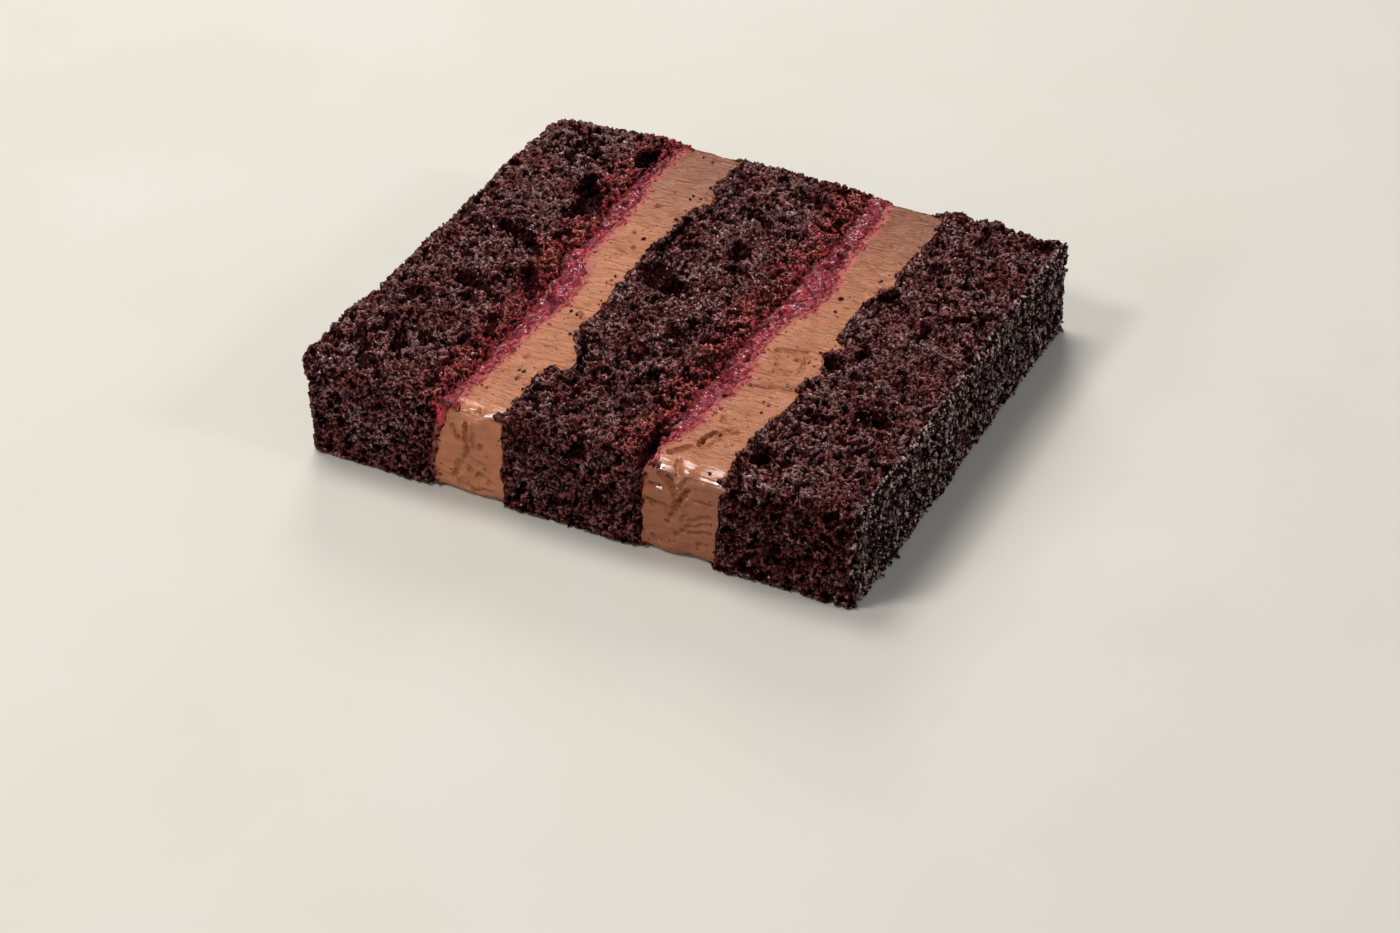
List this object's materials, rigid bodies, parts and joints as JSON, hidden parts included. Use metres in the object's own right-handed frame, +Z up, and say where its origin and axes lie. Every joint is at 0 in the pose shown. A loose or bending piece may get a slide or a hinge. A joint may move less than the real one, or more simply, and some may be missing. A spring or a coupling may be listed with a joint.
{
  "type": "chocolate raspberry cake slice",
  "caption": "Slice of layered chocolate sponge cake lying on its side, with raspberry jam and milk chocolate cream between its layers.",
  "frame": {"origin": "middle of the slice's footprint, on the flat underside that it rests on", "axes": "+X across the layers, from the left sponge to the right one; +Y along the layers, from front to back; +Z up, through the slice's thickness, out of the cut face that shows"},
  "size_m": [0.1186, 0.1032, 0.0224],
  "materials": {
    "sponge": "dark chocolate sponge crumb, open and matte with moist glints",
    "jam": "moist crimson raspberry jam soaked into crumb",
    "cream": "satin milk chocolate cream, smoothed by a knife"
  },
  "bodies": {
    "root": {"sponge_1": "sponge", "jam_1": "jam", "cream_1": "cream", "sponge_2": "sponge", "jam_2": "jam", "cream_2": "cream", "sponge_3": "sponge"}
  },
  "joints": []
}
